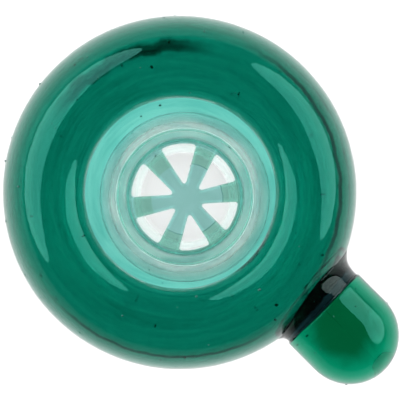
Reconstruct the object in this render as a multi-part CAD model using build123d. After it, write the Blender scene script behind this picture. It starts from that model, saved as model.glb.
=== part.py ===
from build123d import *
import math
import os

# A blown glass slide bowl on a tapered ground joint, in millimetres, +Z up.
# The origin is on the joint's axis, at the large end of its ground cone.

# Ground joint: a 14.5 mm cone, 1 in 10 on the diameter, with a straight airway inside.
CONE_LARGE_R = 7.25
CONE_LENGTH = 20.0
CONE_TAPER = 0.1
TIP_LENGTH = 2.0
TIP_ROUND = 0.6
AIRWAY_R = 4.6
NECK_R = 7.0
NECK_STEP = 0.5
NECK_TOP_Z = 6.3

# Blown body: an oval wall that turns in over the shoulder to a rolled mouth.
BELLY_R = 17.6
BELLY_Z = 14.25
CREST_R = 12.4
CREST_Z = 21.75
MOUTH_R = 9.35
FOOT_R = 9.0
FOOT_Z = 5.25
BELLY_WALL = 1.7
CROWN_WALL = 3.25
LIP_R = 1.15
FLOOR_Z = 6.6
FLOOR_R = 8.8

# The body was set on the joint by eye, so its own axis stands beside the joint's.
BODY_SHIFT = (-0.45, 0.45)

# Star screen: a disc let into the floor, with six openings between spokes that widen outwards.
# The spokes cross a little to one side of the disc's centre.
SCREEN_R = 6.0
SCREEN_TOP_Z = 7.2
OPENING_R = 5.45
OPENING_ROUND = 0.2
SPOKES = 6
FIRST_SPOKE = 9.0
SPOKE_REACH = 6.35
SPOKE_INNER_WIDTH = 1.1
SPOKE_OUTER_WIDTH = 2.4
STAR_SHIFT = (0.24, -0.23)

# Ring of clear glass that welds the joint to the body.
WELD_R = 8.0
WELD_FOOT_Z = 3.0
WELD_FLARE_R = 8.8

# Thumb handle: a solid rod with a round end, welded on beside the body's centre line.
HANDLE_AZIMUTH = -45.0
HANDLE_OFFSET = 1.93
HANDLE_R = 4.9
HANDLE_START = 18.2
HANDLE_REACH = 26.9
PAD_R = 5.3
PAD_ROUND = 0.35
PAD_DEPTH = 5.0


def revolved(*edges):
    """Turn a closed outline of edges, drawn on the XZ plane, about the Z axis."""
    return revolve(Plane.XZ * Face(Wire(edges)), Axis.Z)


def line(start, end):
    return Line(start, end).edge()


def quarter(centre, radii, start_angle):
    """A quarter of an oval about a centre, anticlockwise from an angle."""
    return EllipticalCenterArc(centre, radii[0], radii[1], start_angle, arc_size=90).edge()


def outer_wall():
    """The body's outer line, from the crest over the shoulder and belly to the foot."""
    shoulder = quarter((CREST_R, BELLY_Z), (BELLY_R - CREST_R, CREST_Z - BELLY_Z), 0)
    underside = quarter((FOOT_R, BELLY_Z), (BELLY_R - FOOT_R, BELLY_Z - FOOT_Z), -90)
    return shoulder, underside


def body_envelope():
    """The body as a filled lump, for trimming what is welded to its outside."""
    shoulder, underside = outer_wall()
    return Pos(*BODY_SHIFT) * revolved(
        shoulder,
        underside,
        line((FOOT_R, FOOT_Z), (0, FOOT_Z)),
        line((0, FOOT_Z), (0, CREST_Z)),
        line((0, CREST_Z), (CREST_R, CREST_Z)),
    )


def bowl_body():
    lip_z = CREST_Z - (CREST_R - MOUTH_R)
    crown_z = CREST_Z - CROWN_WALL
    inner_r = BELLY_R - BELLY_WALL
    shoulder, underside = outer_wall()
    bubble = revolved(
        shoulder,
        underside,
        line((FOOT_R, FOOT_Z), (0, FOOT_Z)),
        line((0, FOOT_Z), (0, FLOOR_Z)),
        line((0, FLOOR_Z), (FLOOR_R, FLOOR_Z)),
        quarter((FLOOR_R, BELLY_Z), (inner_r - FLOOR_R, BELLY_Z - FLOOR_Z), -90),
        quarter((CREST_R, BELLY_Z), (inner_r - CREST_R, crown_z - BELLY_Z), 0),
        line((CREST_R, crown_z), (MOUTH_R + LIP_R, lip_z - LIP_R)),
        quarter((MOUTH_R + LIP_R, lip_z), (LIP_R, LIP_R), 180),
        quarter((CREST_R, lip_z), (CREST_R - MOUTH_R, CREST_R - MOUTH_R), 90),
    )
    upward = (Align.CENTER, Align.CENTER, Align.MIN)
    screen_hole = Pos(0, 0, FOOT_Z) * Cylinder(SCREEN_R, FLOOR_Z - FOOT_Z, align=upward)
    joint_seat = Pos(0, 0, FOOT_Z) * Cylinder(WELD_R, NECK_TOP_Z - FOOT_Z, align=upward)
    return Pos(*BODY_SHIFT) * bubble - screen_hole - joint_seat


def ground_joint():
    small_r = CONE_LARGE_R - CONE_LENGTH * CONE_TAPER / 2
    tip_z = -CONE_LENGTH - TIP_LENGTH
    tip_r = small_r - TIP_LENGTH * CONE_TAPER / 2
    return revolved(
        line((AIRWAY_R, tip_z), (tip_r - TIP_ROUND, tip_z)),
        quarter((tip_r - TIP_ROUND, tip_z + TIP_ROUND), (TIP_ROUND, TIP_ROUND), -90),
        line((tip_r, tip_z + TIP_ROUND), (small_r, -CONE_LENGTH)),
        line((small_r, -CONE_LENGTH), (CONE_LARGE_R, 0)),
        line((CONE_LARGE_R, 0), (NECK_R, NECK_STEP)),
        line((NECK_R, NECK_STEP), (NECK_R, NECK_TOP_Z)),
        line((NECK_R, NECK_TOP_Z), (OPENING_R, NECK_TOP_Z)),
        line((OPENING_R, NECK_TOP_Z), (AIRWAY_R, 0)),
        line((AIRWAY_R, 0), (AIRWAY_R, tip_z)),
    )


def joint_weld():
    hollow = (WELD_FLARE_R - NECK_R, FOOT_Z - WELD_FOOT_Z)
    return revolved(
        quarter((WELD_FLARE_R, WELD_FOOT_Z), hollow, 90),
        line((NECK_R, WELD_FOOT_Z), (NECK_R, NECK_TOP_Z)),
        line((NECK_R, NECK_TOP_Z), (WELD_R, NECK_TOP_Z)),
        line((WELD_R, NECK_TOP_Z), (WELD_R, FOOT_Z)),
        line((WELD_R, FOOT_Z), (WELD_FLARE_R, FOOT_Z)),
    )


def screen_openings():
    """The six openings: a disc, less a spoke that widens outwards at each step round the star."""
    spoke = Polygon(
        (0, -SPOKE_INNER_WIDTH / 2),
        (SPOKE_REACH, -SPOKE_OUTER_WIDTH / 2),
        (SPOKE_REACH, SPOKE_OUTER_WIDTH / 2),
        (0, SPOKE_INNER_WIDTH / 2),
        align=None,
    )
    disc = Circle(OPENING_R)
    for step in range(SPOKES):
        disc -= Pos(*STAR_SHIFT) * Rot(0, 0, FIRST_SPOKE + step * 360 / SPOKES) * spoke
    return fillet(disc.vertices(), OPENING_ROUND)


def star_screen():
    thickness = SCREEN_TOP_Z - NECK_TOP_Z
    screen = extrude(Circle(SCREEN_R), thickness) - extrude(screen_openings(), thickness)
    return Pos(0, 0, NECK_TOP_Z) * screen


def handle_frame():
    """Local Z runs out along the handle's axis, from the foot of its perpendicular."""
    angle = math.radians(HANDLE_AZIMUTH)
    outward = Vector(math.cos(angle), math.sin(angle), 0)
    sideways = Vector(-math.sin(angle), math.cos(angle), 0)
    origin = sideways * HANDLE_OFFSET + Vector(*BODY_SHIFT, BELLY_Z)
    return Plane(origin=origin, x_dir=sideways, z_dir=outward)


def handle():
    end_centre = HANDLE_REACH - HANDLE_R
    length = end_centre - HANDLE_START
    rod = Cylinder(HANDLE_R, length, align=(Align.CENTER, Align.CENTER, Align.MAX))
    dome = Sphere(HANDLE_R, arc_size1=0, align=(Align.CENTER, Align.CENTER, Align.MIN))
    thumb = Pos(0, 0, end_centre) * (rod + dome)
    return handle_frame().location * thumb


def handle_pad():
    pad = Cylinder(PAD_R, PAD_DEPTH, align=(Align.CENTER, Align.CENTER, Align.MAX))
    pad = fillet(pad.edges().group_by(Axis.Z)[-1], PAD_ROUND)
    placed = handle_frame().location * Pos(0, 0, HANDLE_START) * pad
    return placed - body_envelope()


PIECES = {
    "bowl_body": bowl_body,
    "star_screen": star_screen,
    "ground_joint": ground_joint,
    "joint_weld": joint_weld,
    "handle": handle,
    "handle_pad": handle_pad,
}

os.makedirs("parts", exist_ok=True)
for name, make in PIECES.items():
    piece = make()
    piece.label = name
    export_step(piece, f"parts/{name}.step")
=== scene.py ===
import math

import bpy
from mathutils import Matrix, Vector


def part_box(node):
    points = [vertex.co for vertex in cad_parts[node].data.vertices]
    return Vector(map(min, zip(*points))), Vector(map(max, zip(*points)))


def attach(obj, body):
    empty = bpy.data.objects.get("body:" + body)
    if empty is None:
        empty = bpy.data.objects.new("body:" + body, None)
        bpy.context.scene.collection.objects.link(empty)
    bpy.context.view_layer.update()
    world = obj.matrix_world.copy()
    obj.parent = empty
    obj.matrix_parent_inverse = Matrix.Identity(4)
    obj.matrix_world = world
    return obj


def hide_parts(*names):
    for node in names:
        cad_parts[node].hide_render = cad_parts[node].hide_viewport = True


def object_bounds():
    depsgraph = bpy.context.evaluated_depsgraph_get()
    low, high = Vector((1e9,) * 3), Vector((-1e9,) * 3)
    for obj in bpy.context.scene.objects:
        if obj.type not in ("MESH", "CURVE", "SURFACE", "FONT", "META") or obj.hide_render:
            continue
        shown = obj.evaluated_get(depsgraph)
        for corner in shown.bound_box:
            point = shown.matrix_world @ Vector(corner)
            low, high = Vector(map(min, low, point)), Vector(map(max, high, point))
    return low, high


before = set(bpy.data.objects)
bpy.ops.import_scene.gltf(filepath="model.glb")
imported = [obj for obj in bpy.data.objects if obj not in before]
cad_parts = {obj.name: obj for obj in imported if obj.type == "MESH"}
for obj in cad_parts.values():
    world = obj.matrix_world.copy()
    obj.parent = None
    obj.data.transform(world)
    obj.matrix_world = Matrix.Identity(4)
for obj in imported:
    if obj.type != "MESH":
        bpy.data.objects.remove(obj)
cad_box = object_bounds()

# All sizes are in metres. Those of whole pieces come from the frame.
MM = 0.001
BODY_LOW, BODY_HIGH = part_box("bowl_body")
JOINT_LOW, JOINT_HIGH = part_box("ground_joint")
WELD_LOW, WELD_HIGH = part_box("joint_weld")
SCREEN_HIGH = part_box("star_screen")[1]

# Two faces that would lie in one place are kept this far apart.
SEAM = 0.015 * MM

# Blown body.
BELLY_R = (BODY_HIGH.x - BODY_LOW.x) / 2
BELLY_Z = 14.25 * MM
CREST_R = 12.4 * MM
CREST_Z = BODY_HIGH.z
MOUTH_R = 9.35 * MM
FOOT_R = 9.0 * MM
FOOT_Z = BODY_LOW.z
BELLY_WALL = 1.7 * MM
CROWN_WALL = 3.25 * MM
LIP_R = 1.15 * MM
FLOOR_Z = 6.6 * MM
FLOOR_R = 8.8 * MM
SCREEN_SEAT_R = SCREEN_HIGH.x

# The body's streaks fade out between the first two radii, and in again between the last two, leaving a
# paler band that is a painted highlight.
PAINTED_HIGHLIGHT_BAND = (14.1 * MM, 14.6 * MM, 15.2 * MM, 15.5 * MM)

# Ground joint and its weld.
CONE_LARGE_R = JOINT_HIGH.x
CONE_LENGTH = 20.0 * MM
CONE_TAPER = 0.1
TIP_ROUND = 0.6 * MM
AIRWAY_R = 4.6 * MM
AIRWAY_TOP_R = 5.45 * MM
NECK_R = 7.0 * MM
NECK_STEP = 0.5 * MM

# The body's green glass meets the clear glass on a slope, from its foot in to this radius.
SLOPE_R = 7.5 * MM

# This radius lies in the wall of the joint's cone and neck, between the airway and the outside.
JOINT_WALL_R = 5.8 * MM

# Star screen. A spoke's half width grows by SPOKE_SPREAD of the distance from the star's middle.
STAR_SHIFT = (0.24 * MM, -0.23 * MM)
SPOKES = 6
FIRST_SPOKE = math.radians(9)
SPOKE_INNER_WIDTH = 1.1 * MM
SPOKE_SPREAD = 0.102
SPOKE_END_FROM_R = 3.65 * MM
SPOKE_END_TO_R = 5.4 * MM

# The body was set on its joint by eye, so it stands a little to one side of it. Its mouth
# leans back again by part of that.
LEAN = (BODY_LOW + BODY_HIGH) / 2
LEAN.z = 0.0
LEAN_FROM_Z = FLOOR_Z
LEAN_TO_Z = 13.0 * MM
MOUTH_LEAN = LEAN * -0.3

# Thumb handle, along a line that passes beside the body's axis.
HANDLE_AZIMUTH = math.radians(-45)
HANDLE_OFFSET = 1.93 * MM
HANDLE_R = 4.9 * MM
HANDLE_START = 18.2 * MM
HANDLE_REACH = 26.9 * MM
HANDLE_OUTWARD = Vector((math.cos(HANDLE_AZIMUTH), math.sin(HANDLE_AZIMUTH), 0))
HANDLE_SIDEWAYS = Vector((-math.sin(HANDLE_AZIMUTH), math.cos(HANDLE_AZIMUTH), 0))
HANDLE_BASE = HANDLE_SIDEWAYS * HANDLE_OFFSET + Vector((0, 0, BELLY_Z)) + LEAN


def handle_spot(across, rise, along):
    """A place given across, above and along the handle's axis."""
    return HANDLE_BASE + HANDLE_SIDEWAYS * across + Vector((0, 0, rise)) + HANDLE_OUTWARD * along


# ---------------------------------------------------------------- node helpers

def new_tree(name, sockets):
    """A geometry node tree with a named input for each (name, kind)."""
    tree = bpy.data.node_groups.new(name, "GeometryNodeTree")
    face = tree.interface
    face.new_socket("Geometry", in_out="INPUT", socket_type="NodeSocketGeometry")
    for label, kind in sockets:
        face.new_socket(label, in_out="INPUT", socket_type=f"NodeSocket{kind}")
    face.new_socket("Geometry", in_out="OUTPUT", socket_type="NodeSocketGeometry")
    start = tree.nodes.new("NodeGroupInput")
    end = tree.nodes.new("NodeGroupOutput")
    return tree, start, end


def node(tree, kind, inputs=None, **settings):
    """Add a node, set its properties, and link or fill its inputs."""
    made = tree.nodes.new(kind)
    for key, value in settings.items():
        setattr(made, key, value)
    for key, value in (inputs or {}).items():
        if isinstance(value, bpy.types.NodeSocket):
            tree.links.new(value, made.inputs[key])
        else:
            made.inputs[key].default_value = value
    return made


def maths(tree, operation, first, second=0.0, third=0.0):
    """The result of a Math node."""
    made = node(tree, "ShaderNodeMath", {0: first, 1: second, 2: third}, operation=operation)
    return made.outputs[0]


def whole(tree, operation, first, second=0):
    """The result of a Math node on whole numbers."""
    made = node(tree, "FunctionNodeIntegerMath", {0: first, 1: second}, operation=operation)
    return made.outputs[0]


def run_tree(obj, tree, values):
    """Give an object a tree's result as a plain mesh, with no modifier left on it."""
    modifier = obj.modifiers.new(tree.name, "NODES")
    modifier.node_group = tree
    for item in tree.interface.items_tree:
        if item.item_type == "SOCKET" and item.in_out == "INPUT" and item.name in values:
            modifier[item.identifier] = values[item.name]
    depsgraph = bpy.context.evaluated_depsgraph_get()
    mesh = bpy.data.meshes.new_from_object(obj.evaluated_get(depsgraph), depsgraph=depsgraph)
    obj.modifiers.remove(modifier)
    old = obj.data
    obj.data = mesh
    mesh.name = obj.name
    bpy.data.meshes.remove(old)
    return obj


def turning_tree():
    """Turn a closed outline about the Z axis, lean it over and give it a hand-made wobble."""
    tree, start, end = new_tree("Turned Glass", (
        ("Segments", "Int"),
        ("Lean", "Vector"),
        ("Lean From", "Float"),
        ("Lean To", "Float"),
        ("Top Lean", "Vector"),
        ("Top From", "Float"),
        ("Top To", "Float"),
        ("Wobble", "Float"),
        ("Wobble Scale", "Float"),
        ("Seed", "Float"),
        ("Material", "Material"),
    ))
    outline = start.outputs["Geometry"]
    segments = start.outputs["Segments"]
    count = node(tree, "GeometryNodeAttributeDomainSize", {"Geometry": outline}).outputs["Point Count"]
    rows = whole(tree, "ADD", count, 1)
    columns = whole(tree, "ADD", segments, 1)
    grid = node(tree, "GeometryNodeMeshGrid", {"Vertices X": columns, "Vertices Y": rows})
    index = node(tree, "GeometryNodeInputIndex").outputs[0]
    column = whole(tree, "DIVIDE_FLOOR", index, rows)
    row = whole(tree, "MODULO", index, rows)
    row = whole(tree, "MODULO", row, count)
    place = node(tree, "GeometryNodeInputPosition").outputs[0]
    sample = node(
        tree, "GeometryNodeSampleIndex",
        {"Geometry": outline, "Value": place, "Index": row}, data_type="FLOAT_VECTOR",
    )
    point = node(tree, "ShaderNodeSeparateXYZ", {0: sample.outputs[0]})
    turn = maths(tree, "MULTIPLY", maths(tree, "DIVIDE", column, segments), math.tau)
    x = maths(tree, "MULTIPLY", point.outputs["X"], maths(tree, "COSINE", turn))
    y = maths(tree, "MULTIPLY", point.outputs["X"], maths(tree, "SINE", turn))
    turned = node(tree, "ShaderNodeCombineXYZ", {"X": x, "Y": y, "Z": point.outputs["Z"]}).outputs[0]
    # The wobble moves a point in or out, by a smooth field in space.
    field = node(
        tree, "ShaderNodeTexNoise",
        {"Vector": turned, "W": start.outputs["Seed"], "Scale": start.outputs["Wobble Scale"],
         "Detail": 1.0},
        noise_dimensions="4D",
    )
    swing = maths(tree, "SUBTRACT", field.outputs[0], 0.5)
    swing = maths(tree, "MULTIPLY", swing, start.outputs["Wobble"])
    outward = node(tree, "ShaderNodeCombineXYZ", {
        "X": maths(tree, "COSINE", turn), "Y": maths(tree, "SINE", turn)}).outputs[0]
    push = node(
        tree, "ShaderNodeVectorMath", {0: outward, "Scale": swing}, operation="SCALE").outputs[0]
    moved = node(tree, "ShaderNodeVectorMath", {0: turned, 1: push}, operation="ADD").outputs[0]
    # Each lean comes in smoothly between two heights.
    for label, low, high in (("Lean", "Lean From", "Lean To"), ("Top Lean", "Top From", "Top To")):
        share = node(
            tree, "ShaderNodeMapRange",
            {"Value": point.outputs["Z"], "From Min": start.outputs[low],
             "From Max": start.outputs[high]},
            interpolation_type="SMOOTHSTEP",
        ).outputs[0]
        lean = node(
            tree, "ShaderNodeVectorMath", {0: start.outputs[label], "Scale": share},
            operation="SCALE").outputs[0]
        moved = node(tree, "ShaderNodeVectorMath", {0: moved, 1: lean}, operation="ADD").outputs[0]
    placed = node(tree, "GeometryNodeSetPosition", {"Geometry": grid.outputs[0], "Position": moved})
    closed = node(
        tree, "GeometryNodeMergeByDistance",
        {"Geometry": placed.outputs[0], "Distance": 0.0005 * MM})
    smooth = node(tree, "GeometryNodeSetShadeSmooth", {"Geometry": closed.outputs[0]})
    real = node(tree, "GeometryNodeRealizeInstances", {"Geometry": smooth.outputs[0]})
    dressed = node(
        tree, "GeometryNodeSetMaterial",
        {"Geometry": real.outputs[0], "Material": start.outputs["Material"]})
    tree.links.new(dressed.outputs[0], end.inputs["Geometry"])
    return tree


def seeding_tree():
    """Scatter small grains over a piece, sunk to their middles, each of its own size."""
    tree, start, end = new_tree("Seeded Glass", (
        ("Count Per Area", "Float"),
        ("Smallest", "Float"),
        ("Largest", "Float"),
        ("Seed", "Int"),
        ("Material", "Material"),
    ))
    spread = node(
        tree, "GeometryNodeDistributePointsOnFaces",
        {"Mesh": start.outputs["Geometry"], "Density": start.outputs["Count Per Area"],
         "Seed": start.outputs["Seed"]})
    grain = node(tree, "GeometryNodeMeshIcoSphere", {"Radius": 1.0, "Subdivisions": 2})
    size = node(
        tree, "FunctionNodeRandomValue",
        {2: start.outputs["Smallest"], 3: start.outputs["Largest"], "Seed": start.outputs["Seed"]},
        data_type="FLOAT").outputs[1]
    turn = node(
        tree, "FunctionNodeRandomValue",
        {0: (0.0, 0.0, 0.0), 1: (math.tau, math.tau, math.tau), "Seed": start.outputs["Seed"]},
        data_type="FLOAT_VECTOR").outputs[0]
    length = maths(tree, "MULTIPLY", size, 1.5)
    shape = node(tree, "ShaderNodeCombineXYZ", {"X": length, "Y": size, "Z": size}).outputs[0]
    placed = node(
        tree, "GeometryNodeInstanceOnPoints",
        {"Points": spread.outputs["Points"], "Instance": grain.outputs["Mesh"],
         "Rotation": turn, "Scale": shape})
    real = node(tree, "GeometryNodeRealizeInstances", {"Geometry": placed.outputs[0]})
    dressed = node(
        tree, "GeometryNodeSetMaterial",
        {"Geometry": real.outputs[0], "Material": start.outputs["Material"]})
    tree.links.new(dressed.outputs[0], end.inputs["Geometry"])
    return tree


# ---------------------------------------------------------------- outlines

def oval(centre, radii, start, sweep, count=24):
    """Points of an oval arc; angles in degrees, anticlockwise from +R."""
    points = []
    for step in range(count + 1):
        angle = math.radians(start + sweep * step / count)
        points.append((centre[0] + radii[0] * math.cos(angle),
                       centre[1] + radii[1] * math.sin(angle)))
    return points


def bend(start, first, second, end, count=16):
    """Points of a Bezier curve."""
    points = []
    for step in range(count + 1):
        t = step / count
        s = 1 - t
        weights = (s ** 3, 3 * s * s * t, 3 * s * t * t, t ** 3)
        points.append(tuple(
            sum(w * p[axis] for w, p in zip(weights, (start, first, second, end)))
            for axis in (0, 1)))
    return points


def straight(start, end, count=6):
    """Points of a straight stretch, evenly spaced."""
    return [
        (start[0] + (end[0] - start[0]) * step / count,
         start[1] + (end[1] - start[1]) * step / count)
        for step in range(count + 1)]


def outline_object(name, *stretches):
    """An object that holds a closed outline's points, in order, for the turning tree."""
    points = []
    for stretch in stretches:
        for point in stretch:
            if not points or math.dist(point, points[-1]) > 0.002 * MM:
                points.append(point)
    if math.dist(points[0], points[-1]) < 0.002 * MM:
        points.pop()
    area = sum(
        a[0] * b[1] - b[0] * a[1] for a, b in zip(points, points[1:] + points[:1]))
    if area < 0:
        points.reverse()
    mesh = bpy.data.meshes.new(name)
    mesh.from_pydata([(r, 0, z) for r, z in points], [], [])
    obj = bpy.data.objects.new(name, mesh)
    bpy.context.scene.collection.objects.link(obj)
    return obj


# ---------------------------------------------------------------- materials

# Tints are shares of red, green and blue.
NO_TINT = (1.0, 1.0, 1.0)
GREEN_SHEEN = (0.16, 1.0, 0.86)
PAD_SHEEN = (0.35, 0.50, 0.48)
CLEAR_PER_MM = (0.028, 0.007, 0.011)


def glass(name, per_mm, ripple=0.0, ripple_scale=350.0, sheen_tint=NO_TINT):
    """Glass that takes out red, green and blue by these amounts for each mm of depth."""
    material = bpy.data.materials.new(name)
    material.use_nodes = True
    tree = material.node_tree
    shader = tree.nodes["Principled BSDF"]
    shader.inputs["Base Color"].default_value = (1, 1, 1, 1)
    shader.inputs["Roughness"].default_value = 0.0
    shader.inputs["IOR"].default_value = 1.47
    shader.inputs["Transmission Weight"].default_value = 1.0
    shader.inputs["Specular Tint"].default_value = (*sheen_tint, 1)
    # The density is a little over the strongest, so no part of the volume's colour is 0.
    strongest = max(per_mm) * 1.1
    depth = node(tree, "ShaderNodeVolumeAbsorption", {
        "Color": (*(1 - share / strongest for share in per_mm), 1),
        "Density": strongest / MM,
    })
    output = tree.nodes["Material Output"]
    tree.links.new(depth.outputs[0], output.inputs["Volume"])
    if ripple:
        place = node(tree, "ShaderNodeTexCoord").outputs["Object"]
        stretch = node(tree, "ShaderNodeMapping", {"Vector": place, "Scale": (1, 1, 0.35)})
        waves = node(tree, "ShaderNodeTexNoise", {
            "Vector": stretch.outputs[0], "Scale": ripple_scale, "Detail": 2.0, "Roughness": 0.4})
        bump = node(tree, "ShaderNodeBump", {
            "Height": waves.outputs[0], "Strength": ripple, "Distance": 0.1 * MM})
        tree.links.new(bump.outputs[0], shader.inputs["Normal"])
    return material


def ramp(tree, value, low, high, at_low=0.0, at_high=1.0):
    """A smooth step from one value to another."""
    return node(
        tree, "ShaderNodeMapRange",
        {"Value": value, "From Min": low, "From Max": high, "To Min": at_low, "To Max": at_high},
        interpolation_type="SMOOTHSTEP").outputs[0]


def between(tree, value, rise_from, rise_to, fall_from, fall_to):
    """1 in a band of values and 0 outside it, with a smooth rise and fall."""
    risen = ramp(tree, value, rise_from, rise_to)
    return maths(tree, "MULTIPLY", risen, ramp(tree, value, fall_from, fall_to, 1.0, 0.0))


def tint(material, factor, at_0, at_1):
    """Multiply a glass's colour by a tint, which a factor blends from one to another."""
    tree = material.node_tree
    blend = node(
        tree, "ShaderNodeMix", {"Factor": factor, "A": (*at_0, 1), "B": (*at_1, 1)},
        data_type="RGBA").outputs["Result"]
    colour = tree.nodes["Principled BSDF"].inputs["Base Color"]
    if colour.is_linked:
        under = colour.links[0].from_socket
        blend = node(
            tree, "ShaderNodeMix", {"Factor": 1.0, "A": under, "B": blend},
            data_type="RGBA", blend_type="MULTIPLY").outputs["Result"]
    tree.links.new(blend, colour)


def round_axis(tree, centre=(0.0, 0.0)):
    """The direction from a vertical axis, the distance from it, and the height, as sockets."""
    place = node(tree, "ShaderNodeTexCoord").outputs["Object"]
    axes = node(tree, "ShaderNodeSeparateXYZ", {0: place})
    flat = node(tree, "ShaderNodeCombineXYZ", {
        "X": maths(tree, "SUBTRACT", axes.outputs["X"], centre[0]),
        "Y": maths(tree, "SUBTRACT", axes.outputs["Y"], centre[1])}).outputs[0]
    heading = node(tree, "ShaderNodeVectorMath", {0: flat}, operation="NORMALIZE").outputs[0]
    distance = node(tree, "ShaderNodeVectorMath", {0: flat}, operation="LENGTH").outputs["Value"]
    return heading, distance, axes.outputs["Z"]


def add_streaks(material, pale, deep, scale, stretch, turn=(0.0, 0.0, 0.0)):
    """Tint a glass in streaks, from pale to deep, drawn out by the stretch."""
    tree = material.node_tree
    place = node(tree, "ShaderNodeTexCoord").outputs["Object"]
    drawn = node(tree, "ShaderNodeMapping", {"Vector": place, "Rotation": turn, "Scale": stretch})
    flow = node(tree, "ShaderNodeTexNoise", {
        "Vector": drawn.outputs[0], "Scale": scale, "Detail": 3.0, "Distortion": 0.8})
    tint(material, ramp(tree, flow.outputs[0], 0.34, 0.66), pale, deep)


def add_spun_streaks(material, centre, pale, deep):
    """Tint a glass in streaks that run round its axis, paler in a painted highlight band, and ripple its
    surface along them.
    """
    tree = material.node_tree
    heading, distance, height = round_axis(tree, centre)
    way = node(tree, "ShaderNodeSeparateXYZ", {0: heading})
    across = maths(tree, "MULTIPLY_ADD", height, 0.6 / MM, maths(tree, "MULTIPLY", distance, 1.3 / MM))
    spun = node(tree, "ShaderNodeCombineXYZ", {
        "X": maths(tree, "MULTIPLY", way.outputs["X"], 1.5),
        "Y": maths(tree, "MULTIPLY", way.outputs["Y"], 1.5), "Z": across})
    flow = node(tree, "ShaderNodeTexNoise", {
        "Vector": spun.outputs[0], "Scale": 1.0, "Detail": 3.0, "Distortion": 0.3}).outputs[0]
    # A band near the outer edge has no streaks, so it is paler: a painted highlight.
    streaked = maths(tree, "SUBTRACT", 1.0, between(tree, distance, *PAINTED_HIGHLIGHT_BAND))
    streak = maths(tree, "MULTIPLY", ramp(tree, flow, 0.40, 0.62), streaked)
    tint(material, streak, pale, deep)
    normal = tree.nodes["Principled BSDF"].inputs["Normal"]
    waves = node(tree, "ShaderNodeBump", {"Height": flow, "Strength": 0.22, "Distance": 0.1 * MM})
    if normal.is_linked:
        tree.links.new(normal.links[0].from_socket, waves.inputs["Normal"])
    tree.links.new(waves.outputs[0], normal)


def add_painted_shade_ring(material, centre, band, colour, below=CREST_Z):
    """Painted shade: a deeper tone in a ring round a vertical axis, up to a height."""
    tree = material.node_tree
    _, distance, height = round_axis(tree, centre)
    low = maths(tree, "LESS_THAN", height, below)
    tint(material, maths(tree, "MULTIPLY", between(tree, distance, *band), low), NO_TINT, colour)


def add_painted_spoke_highlights(material, middle, edge):
    """Painted highlights: paler lines a little inside the edges of the screen's spokes, and none on its
    hub.
    """
    tree = material.node_tree
    heading, distance, _ = round_axis(tree, STAR_SHIFT)
    way = node(tree, "ShaderNodeSeparateXYZ", {0: heading})
    angle = maths(tree, "ARCTAN2", way.outputs["Y"], way.outputs["X"])
    step = math.tau / SPOKES
    turns = maths(tree, "MULTIPLY_ADD", angle, 1 / step, 0.5 - FIRST_SPOKE / step)
    beside = maths(tree, "MULTIPLY", maths(tree, "SUBTRACT", maths(tree, "FRACT", turns), 0.5), step)
    along = maths(tree, "MULTIPLY", distance, maths(tree, "COSINE", beside))
    across = maths(tree, "MULTIPLY", distance, maths(tree, "ABSOLUTE", maths(tree, "SINE", beside)))
    half = maths(tree, "MULTIPLY_ADD", along, SPOKE_SPREAD, SPOKE_INNER_WIDTH / 2)
    inside = maths(tree, "SUBTRACT", half, across)
    line = between(tree, inside, 0.05 * MM, 0.13 * MM, 0.24 * MM, 0.38 * MM)
    off_hub = ramp(tree, distance, 1.2 * MM, 1.8 * MM)
    tint(material, maths(tree, "MULTIPLY", line, off_hub), middle, edge)


def add_painted_shade_arc(material, centre, radius, width, azimuth, reach, colour, above):
    """Painted shade: a dark, wandering line round a vertical axis, to both sides of an azimuth, above a
    height.
    """
    tree = material.node_tree
    heading, distance, height = round_axis(tree, centre)
    wander = node(tree, "ShaderNodeTexNoise", {
        "Vector": heading, "Scale": 7.0, "Detail": 4.0}).outputs[0]
    path = maths(tree, "MULTIPLY_ADD", wander, 2.4 * width, radius - 1.2 * width)
    off = maths(tree, "ABSOLUTE", maths(tree, "SUBTRACT", distance, path))
    line = ramp(tree, off, 0.25 * width, width, 1.0, 0.0)
    angle = math.radians(azimuth)
    facing = node(
        tree, "ShaderNodeVectorMath", {0: heading, 1: (math.cos(angle), math.sin(angle), 0)},
        operation="DOT_PRODUCT").outputs["Value"]
    near = ramp(tree, facing, math.cos(math.radians(reach)), math.cos(math.radians(reach * 0.45)))
    upper = maths(tree, "GREATER_THAN", height, above)
    drawn = maths(tree, "MULTIPLY", maths(tree, "MULTIPLY", line, near), upper)
    tint(material, drawn, NO_TINT, colour)


def add_painted_round_shade(material, centre, inner, outer, near, far):
    """Painted shade: tint a glass by the distance from a point, from one tint near it to another far
    from it.
    """
    tree = material.node_tree
    place = node(tree, "ShaderNodeTexCoord").outputs["Object"]
    away = node(
        tree, "ShaderNodeVectorMath", {0: place, 1: centre}, operation="DISTANCE").outputs["Value"]
    uneven = node(tree, "ShaderNodeTexNoise", {
        "Vector": place, "Scale": 260.0, "Detail": 3.0, "Distortion": 1.0}).outputs[0]
    away = maths(tree, "MULTIPLY_ADD", maths(tree, "SUBTRACT", uneven, 0.5), outer - inner, away)
    tint(material, ramp(tree, away, inner, outer), near, far)


def add_ground_finish(material, low_z, high_z, from_r):
    """Roughen a clear glass between two heights, from a distance off the joint's axis outwards."""
    tree = material.node_tree
    _, distance, height = round_axis(tree)
    outside = maths(tree, "GREATER_THAN", distance, from_r)
    above = maths(tree, "GREATER_THAN", height, low_z)
    below = maths(tree, "LESS_THAN", height, high_z)
    ground = maths(tree, "MULTIPLY", maths(tree, "MULTIPLY", outside, above), below)
    place = node(tree, "ShaderNodeTexCoord").outputs["Object"]
    grain = node(tree, "ShaderNodeTexNoise", {"Vector": place, "Scale": 9000.0, "Detail": 3.0})
    rough = maths(tree, "MULTIPLY_ADD", grain.outputs[0], 0.2, 0.6)
    tree.links.new(
        maths(tree, "MULTIPLY", ground, rough), tree.nodes["Principled BSDF"].inputs["Roughness"])


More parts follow.
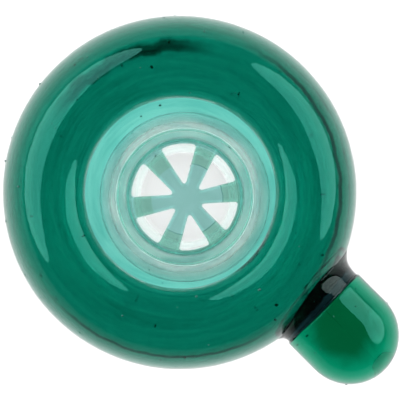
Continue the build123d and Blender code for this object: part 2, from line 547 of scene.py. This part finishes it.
def green_blown_glass():
    """The body's glass: spun streaks with a painted highlight band, painted shade where its floor turns
    up, and dark lines of painted shade.
    """
    material = glass("green_blown_glass", (1.45, 0.375, 0.46), ripple=0.14, sheen_tint=GREEN_SHEEN)
    add_spun_streaks(material, LEAN, (1.0, 1.0, 0.97), (0.68, 0.86, 0.83))
    # Painted shade: a deeper tone in the crease where the floor turns up to the wall.
    crease_shade_band = (FLOOR_R - 0.8 * MM, FLOOR_R - 0.3 * MM, FLOOR_R + 0.8 * MM, FLOOR_R + 1.6 * MM)
    add_painted_shade_ring(material, LEAN, crease_shade_band, (0.97, 0.93, 0.91), below=FLOOR_Z + 2.4 * MM)
    # The three dark lines are painted shade, where the glass would show its dark surroundings.
    add_painted_shade_arc(material, LEAN, radius=13.9 * MM, width=0.55 * MM, azimuth=113, reach=40,
                 colour=(0.0, 0.07, 0.06), above=BELLY_Z)
    add_painted_shade_arc(material, LEAN, radius=15.7 * MM, width=0.32 * MM, azimuth=14, reach=60,
                 colour=(0.0, 0.03, 0.03), above=BELLY_Z)
    add_painted_shade_arc(material, LEAN, radius=16.1 * MM, width=0.20 * MM, azimuth=262, reach=50,
                 colour=(0.0, 0.06, 0.06), above=BELLY_Z)
    return material


def pale_green_glass():
    """The screen's glass: painted shade that makes the spokes' outer ends greener, a fine arc of painted
    shade where that starts, and painted highlights along the spokes' edges.
    """
    material = glass("pale_green_glass", (1.18, 0.40, 0.46), ripple=0.35, ripple_scale=900.0)
    add_streaks(material, NO_TINT, (0.90, 0.95, 0.93), scale=420.0, stretch=(1, 1, 1))
    # The greener tone at the spokes' outer ends and the fine dark arc where it starts are painted shade.
    soft = 0.1 * MM
    spoke_end_shade_band = (SPOKE_END_FROM_R - soft, SPOKE_END_FROM_R + soft,
                  SPOKE_END_TO_R - soft, SPOKE_END_TO_R + soft)
    add_painted_shade_ring(material, STAR_SHIFT, spoke_end_shade_band, (0.85, 0.91, 0.82))
    add_painted_spoke_highlights(material, (0.90, 0.885, 0.89), NO_TINT)
    add_painted_shade_arc(material, STAR_SHIFT, radius=SPOKE_END_FROM_R, width=0.09 * MM, azimuth=-20,
                 reach=150, colour=(0.30, 0.50, 0.46), above=SCREEN_HIGH.z - 0.3 * MM)
    return material


def clear_weld_glass():
    """The weld's glass, dull below the body's foot and clear above it."""
    material = glass("clear_weld_glass", CLEAR_PER_MM, ripple=0.08)
    add_ground_finish(material, WELD_LOW.z - SEAM, FOOT_Z - 2 * SEAM, 0.0)
    return material


def clear_joint_glass():
    """The joint's glass, ground dull on the outside of its cone and neck."""
    material = glass("clear_joint_glass", CLEAR_PER_MM)
    add_ground_finish(material, -CONE_LENGTH, JOINT_HIGH.z - SEAM, JOINT_WALL_R)
    return material


def pad_glass_streaks_and_shade():
    """The pad's glass, wavy and full of streaks, whose dark tint is painted shade."""
    material = glass("pad_glass", (0.62, 0.46, 0.44), ripple=0.5, ripple_scale=300.0,
                     sheen_tint=PAD_SHEEN)
    # The streaks' dark tint is painted shade, where the pad's steep surface would show dark reflections.
    add_streaks(material, (0.90, 1.0, 0.98), (0.10, 0.16, 0.20), scale=330.0,
                stretch=(1.0, 1.0, 0.25), turn=(0, 0, 0.78))
    return material


def deep_green_rod_glass():
    """The handle's glass, with painted shade that makes it darkest near a point on top of it."""
    material = glass("deep_green_rod_glass", (0.95, 0.16, 0.24), ripple=0.16, ripple_scale=260.0,
                     sheen_tint=GREEN_SHEEN)
    add_streaks(material, NO_TINT, (0.86, 0.93, 0.92), scale=200.0, stretch=(0.7, 0.7, 1.6))
    # Painted shade: the rod is darkened round a point on its top.
    shade_centre = handle_spot(0.4 * MM, HANDLE_R, 20.6 * MM)
    add_painted_round_shade(material, shade_centre, 2.2 * MM, 5.4 * MM, (0.18, 0.20, 0.10), NO_TINT)
    return material


def seed_grain():
    """The dark grains that stay in hand-worked glass."""
    material = bpy.data.materials.new("seed_grain")
    material.use_nodes = True
    tree = material.node_tree
    shader = tree.nodes["Principled BSDF"]
    shader.inputs["Roughness"].default_value = 0.35
    place = node(tree, "ShaderNodeTexCoord").outputs["Object"]
    patch = node(tree, "ShaderNodeTexNoise", {"Vector": place, "Scale": 700.0})
    mottled = node(tree, "ShaderNodeMix", {
        "Factor": patch.outputs[0], "A": (0.0, 0.02, 0.015, 1), "B": (0.05, 0.30, 0.24, 1)},
        data_type="RGBA")
    tree.links.new(mottled.outputs["Result"], shader.inputs["Base Color"])
    return material


body_glass = green_blown_glass()
screen_glass = pale_green_glass()
weld_glass = clear_weld_glass()
joint_glass = clear_joint_glass()
pad_glass = pad_glass_streaks_and_shade()
handle_glass = deep_green_rod_glass()
grain_material = seed_grain()


# ---------------------------------------------------------------- camera, lights and floor

def add_camera():
    """A camera straight above a place beside the body's axis."""
    data = bpy.data.cameras.new("camera")
    camera = bpy.data.objects.new("camera", data)
    bpy.context.scene.collection.objects.link(camera)
    distance = 0.30
    view_width = 39.8 * MM
    beside_x, beside_y = 2.01 * MM, -0.76 * MM
    data.lens = data.sensor_width * distance / view_width
    data.clip_start = 0.01
    camera.location = (beside_x + LEAN.x, beside_y + LEAN.y, BELLY_Z + distance)
    bpy.context.scene.camera = camera


def add_panel(name, azimuth, width):
    """An oval soft panel that stands to one side and faces the object."""
    distance, bottom, top = 0.45, 0.02, 0.58
    radiance = 3.4
    data = bpy.data.lights.new(name, "AREA")
    data.shape = "ELLIPSE"
    data.size = width
    data.size_y = top - bottom
    area = math.pi * width * (top - bottom) / 4
    data.energy = radiance * math.pi * area
    panel = bpy.data.objects.new(name, data)
    bpy.context.scene.collection.objects.link(panel)
    angle = math.radians(azimuth)
    panel.location = (distance * math.cos(angle), distance * math.sin(angle), (top + bottom) / 2)
    inward = Vector((-math.cos(angle), -math.sin(angle), 0))
    panel.rotation_euler = inward.to_track_quat("-Z", "Y").to_euler()
    panel.visible_camera = False


def add_floor():
    """A floor that glows most under the object. Outside the tip, the camera sees it evenly pale."""
    floor_z = cad_box[0].z - 0.1 * MM
    half = 3.0
    bright, dim, painted_tip_shade = 0.84, 0.30, 0.67
    dim_from_r, dim_to_r = 0.04, 0.158
    mesh = bpy.data.meshes.new("floor")
    mesh.from_pydata(
        [(-half, -half, floor_z), (half, -half, floor_z), (half, half, floor_z), (-half, half, floor_z)],
        [], [(0, 1, 2, 3)])
    floor = bpy.data.objects.new("floor", mesh)
    bpy.context.scene.collection.objects.link(floor)
    material = bpy.data.materials.new("pale_floor")
    material.use_nodes = True
    shader = material.node_tree.nodes["Principled BSDF"]
    shader.inputs["Base Color"].default_value = (0.38, 0.38, 0.38, 1)
    shader.inputs["Roughness"].default_value = 0.9
    shader.inputs["Specular IOR Level"].default_value = 0.0
    shader.inputs["Emission Color"].default_value = (1, 1, 1, 1)
    tree = material.node_tree
    _, away, _ = round_axis(tree)
    glow = ramp(tree, away, dim_from_r, dim_to_r, bright, dim)
    seen = node(tree, "ShaderNodeLightPath").outputs["Is Camera Ray"]
    glow = maths(tree, "MAXIMUM", glow, maths(tree, "MULTIPLY", seen, bright))
    # Inside the joint's tip the floor is dimmed by a painted shade, so that the screen's openings are
    # off-white.
    shade = ramp(tree, away, AIRWAY_R, AIRWAY_R + 0.5 * MM, painted_tip_shade, 1.0)
    tree.links.new(maths(tree, "MULTIPLY", glow, shade), shader.inputs["Emission Strength"])
    mesh.materials.append(material)


def light_world():
    """A dim room, with a backdrop that looks pale to the camera."""
    room, seen_extra = 0.05, 0.87
    world = bpy.data.worlds.new("studio")
    bpy.context.scene.world = world
    world.use_nodes = True
    backdrop = world.node_tree.nodes["Background"]
    backdrop.inputs["Color"].default_value = (1, 1, 1, 1)
    seen = node(world.node_tree, "ShaderNodeLightPath").outputs["Is Camera Ray"]
    world.node_tree.links.new(
        maths(world.node_tree, "MULTIPLY_ADD", seen, seen_extra, room), backdrop.inputs["Strength"])


add_camera()
add_panel("left_panel", azimuth=156, width=1.10)
add_panel("right_panel", azimuth=22, width=0.75)
add_floor()
light_world()
bpy.context.scene.view_settings.view_transform = "Standard"


# ---------------------------------------------------------------- pieces

turning = turning_tree()
seeding = seeding_tree()
no_lean = {"Lean": (0, 0, 0), "Lean From": 0.0, "Lean To": 1.0,
           "Top Lean": (0, 0, 0), "Top From": 0.0, "Top To": 1.0}
body_lean = {"Lean": tuple(LEAN), "Lean From": LEAN_FROM_Z, "Lean To": LEAN_TO_Z,
             "Top Lean": tuple(MOUTH_LEAN), "Top From": BELLY_Z, "Top To": CREST_Z}


def finish_piece(obj, slot, *nodes):
    """Hide the CAD nodes that a piece stands for, and give it its body. The slot is not used."""
    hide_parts(*nodes)
    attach(obj, "root")


def make_body():
    """The blown body: down its outside, in under the floor, and up its inside to the mouth."""
    inner_r = BELLY_R - BELLY_WALL
    lip_z = CREST_Z - (CREST_R - MOUTH_R)
    crown_z = CREST_Z - CROWN_WALL
    top = JOINT_HIGH.z + SEAM
    obj = outline_object(
        "blown_body",
        oval((CREST_R, BELLY_Z), (BELLY_R - CREST_R, CREST_Z - BELLY_Z), 90, -90, 40),
        oval((FOOT_R, BELLY_Z), (BELLY_R - FOOT_R, BELLY_Z - FOOT_Z), 0, -90, 40),
        straight((FOOT_R, FOOT_Z), (SLOPE_R, top), 12),
        straight((SLOPE_R, top), (SCREEN_SEAT_R + SEAM, top)),
        straight((SCREEN_SEAT_R + SEAM, top), (SCREEN_SEAT_R + SEAM, FLOOR_Z)),
        straight((SCREEN_SEAT_R + SEAM, FLOOR_Z), (FLOOR_R, FLOOR_Z)),
        oval((FLOOR_R, BELLY_Z), (inner_r - FLOOR_R, BELLY_Z - FLOOR_Z), -90, 90, 40),
        oval((CREST_R, BELLY_Z), (inner_r - CREST_R, crown_z - BELLY_Z), 0, 90, 30),
        bend((CREST_R, crown_z), (CREST_R - 0.8 * MM, crown_z),
             (MOUTH_R + LIP_R + 0.7 * MM, lip_z - LIP_R), (MOUTH_R + LIP_R, lip_z - LIP_R)),
        oval((MOUTH_R + LIP_R, lip_z), (LIP_R, LIP_R), 270, -90, 20),
        oval((CREST_R, lip_z), (CREST_R - MOUTH_R, CREST_R - MOUTH_R), 180, -90, 30),
    )
    run_tree(obj, turning, {
        "Segments": 256, "Wobble": 0.10 * MM, "Wobble Scale": 120.0, "Seed": 4.0,
        "Material": body_glass, **body_lean})
    finish_piece(obj, "green_glass", "bowl_body")


def make_joint():
    """The tapered joint with its neck, round a straight airway that flares at the top."""
    small_r = CONE_LARGE_R - CONE_LENGTH * CONE_TAPER / 2
    tip_z = JOINT_LOW.z
    tip_r = small_r + (tip_z + CONE_LENGTH) * CONE_TAPER / 2
    obj = outline_object(
        "clear_joint",
        straight((AIRWAY_R, tip_z), (tip_r - TIP_ROUND, tip_z)),
        oval((tip_r - TIP_ROUND, tip_z + TIP_ROUND), (TIP_ROUND, TIP_ROUND), -90, 90, 10),
        straight((tip_r, tip_z + TIP_ROUND), (small_r, -CONE_LENGTH)),
        straight((small_r, -CONE_LENGTH), (CONE_LARGE_R, 0), 30),
        bend((CONE_LARGE_R, 0), (CONE_LARGE_R, NECK_STEP * 0.7),
             (NECK_R, NECK_STEP * 0.3), (NECK_R, NECK_STEP * 1.5), 8),
        straight((NECK_R, NECK_STEP * 1.5), (NECK_R, JOINT_HIGH.z), 8),
        straight((NECK_R, JOINT_HIGH.z), (AIRWAY_TOP_R, JOINT_HIGH.z)),
        bend((AIRWAY_TOP_R, JOINT_HIGH.z), (AIRWAY_TOP_R, JOINT_HIGH.z * 0.6),
             (AIRWAY_R, JOINT_HIGH.z * 0.4), (AIRWAY_R, 0)),
        straight((AIRWAY_R, 0), (AIRWAY_R, tip_z), 30),
    )
    run_tree(obj, turning, {
        "Segments": 160, "Wobble": 0.0, "Wobble Scale": 100.0, "Seed": 1.0,
        "Material": joint_glass, **no_lean})
    finish_piece(obj, "clear_glass", "ground_joint")


def make_weld():
    """The ring of clear glass round the neck, whose top stays below the body's slope."""
    inner = NECK_R + SEAM
    flare = WELD_HIGH.x
    rim_z = FOOT_Z + 0.2 * (FOOT_R - flare) - SEAM
    obj = outline_object(
        "joint_weld_ring",
        oval((flare, WELD_LOW.z), (flare - inner, FOOT_Z - SEAM - WELD_LOW.z), 90, 90, 16),
        straight((inner, WELD_LOW.z), (inner, WELD_HIGH.z)),
        straight((inner, WELD_HIGH.z), (SLOPE_R - SEAM, WELD_HIGH.z), 4),
        straight((SLOPE_R - SEAM, WELD_HIGH.z), (flare, rim_z), 12),
    )
    run_tree(obj, turning, {
        "Segments": 160, "Wobble": 0.0, "Wobble Scale": 100.0, "Seed": 1.0,
        "Material": weld_glass, **no_lean})
    finish_piece(obj, "clear_glass", "joint_weld")


def make_screen():
    """The pierced screen, with its edges melted round."""
    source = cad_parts["star_screen"]
    mesh = source.data.copy()
    obj = bpy.data.objects.new("melted_screen", mesh)
    bpy.context.scene.collection.objects.link(obj)
    weld = obj.modifiers.new("weld", "WELD")
    weld.merge_threshold = 0.001 * MM
    remesh = obj.modifiers.new("remesh", "REMESH")
    remesh.mode = "VOXEL"
    remesh.voxel_size = 0.10 * MM
    soften = obj.modifiers.new("soften", "SMOOTH")
    soften.factor = 0.5
    soften.iterations = 14
    depsgraph = bpy.context.evaluated_depsgraph_get()
    obj.data = bpy.data.meshes.new_from_object(obj.evaluated_get(depsgraph), depsgraph=depsgraph)
    obj.modifiers.clear()
    for polygon in obj.data.polygons:
        polygon.use_smooth = True
    obj.data.materials.clear()
    obj.data.materials.append(screen_glass)
    finish_piece(obj, "pale_glass", "star_screen")


def place_on_handle(mesh):
    """Move a mesh turned about Z so that its Z axis runs out along the handle."""
    for vertex in mesh.vertices:
        vertex.co = handle_spot(*vertex.co)


def make_handle():
    """The solid rod, flat where it meets the pad and round at its far end."""
    end = HANDLE_REACH - HANDLE_R
    edge = 0.18 * MM
    obj = outline_object(
        "thumb_handle",
        straight((0.0, HANDLE_START), (HANDLE_R - edge, HANDLE_START), 12),
        oval((HANDLE_R - edge, HANDLE_START + edge), (edge, edge), -90, 90, 6),
        straight((HANDLE_R, HANDLE_START + edge), (HANDLE_R, end), 8),
        oval((0.0, end), (HANDLE_R, HANDLE_R), 0, 90, 40),
    )
    run_tree(obj, turning, {
        "Segments": 160, "Wobble": 0.12 * MM, "Wobble Scale": 150.0, "Seed": 9.0,
        "Material": handle_glass, **no_lean})
    place_on_handle(obj.data)
    finish_piece(obj, "deep_green_glass", "handle")


def wall_reach(across, rise):
    """How far out along the handle's axis the body's wall is, at a place across and above it."""
    if rise > 0:
        share = math.sqrt(max(0.0, 1 - (rise / (CREST_Z - BELLY_Z)) ** 2))
        radius = CREST_R + (BELLY_R - CREST_R) * share
    else:
        share = math.sqrt(max(0.0, 1 - (rise / (BELLY_Z - FOOT_Z)) ** 2))
        radius = FOOT_R + (BELLY_R - FOOT_R) * share
    return math.sqrt(radius ** 2 - (across + HANDLE_OFFSET) ** 2)


def make_pad():
    """The pad of clear glass between the handle's flat end and the body's wall."""
    columns, steps = 128, 12
    front = HANDLE_START - SEAM
    rim = HANDLE_R - 0.15 * MM
    root, root_swell = 5.35 * MM, 0.55 * MM
    # Rings of points run out over the front, along the side, and in again over the root.
    rows = []
    for step in range(1, steps + 1):
        rows.append(("front", step / steps))
    for step in range(1, steps + 1):
        rows.append(("side", step / steps))
    for step in range(1, steps):
        rows.append(("root", 1 - step / steps))
    points = [handle_spot(0, 0, front)]
    for kind, share in rows:
        for column in range(columns):
            angle = math.tau * column / columns
            c, s = math.cos(angle), math.sin(angle)
            root_r = root + root_swell * max(0.0, c)
            if kind == "front":
                across, rise, along = rim * share * c, rim * share * s, front
            elif kind == "root":
                across, rise = root_r * share * c, root_r * share * s
                along = wall_reach(across, rise) + SEAM
            else:
                along_root = wall_reach(root_r * c, root_r * s) + SEAM
                radius = rim + (root_r - rim) * share ** 3
                across, rise = radius * c, radius * s
                along = front + (along_root - front) * share
            points.append(handle_spot(across, rise, along))
    points.append(handle_spot(0, 0, wall_reach(0, 0) + SEAM))
    faces = []
    last = 1 + (len(rows) - 1) * columns
    for column in range(columns):
        following = (column + 1) % columns
        faces.append((0, 1 + column, 1 + following))
        for row in range(len(rows) - 1):
            low, high = 1 + row * columns, 1 + (row + 1) * columns
            faces.append((low + column, high + column, high + following, low + following))
        faces.append((last + column, len(points) - 1, last + following))
    mesh = bpy.data.meshes.new("handle_pad_glass")
    mesh.from_pydata(points, [], faces)
    for polygon in mesh.polygons:
        polygon.use_smooth = True
    mesh.materials.append(pad_glass)
    obj = bpy.data.objects.new("handle_pad_glass", mesh)
    bpy.context.scene.collection.objects.link(obj)
    finish_piece(obj, "clear_glass", "handle_pad")


def make_seeds(glass_piece, name, per_cm2, smallest, largest, seed):
    """Grains on one piece of glass, as a piece of their own."""
    obj = bpy.data.objects.new(name, bpy.data.objects[glass_piece].data.copy())
    bpy.context.scene.collection.objects.link(obj)
    run_tree(obj, seeding, {
        "Count Per Area": per_cm2 * 1e4, "Smallest": smallest, "Largest": largest,
        "Seed": seed, "Material": grain_material})
    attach(obj, "root")


make_body()
make_joint()
make_weld()
make_screen()
make_handle()
make_pad()
make_seeds("blown_body", "body_seeds",
           per_cm2=3.0, smallest=0.035 * MM, largest=0.12 * MM, seed=11)
make_seeds("thumb_handle", "handle_seeds",
           per_cm2=6.0, smallest=0.04 * MM, largest=0.11 * MM, seed=5)
make_seeds("melted_screen", "screen_seeds",
           per_cm2=6.0, smallest=0.03 * MM, largest=0.09 * MM, seed=3)
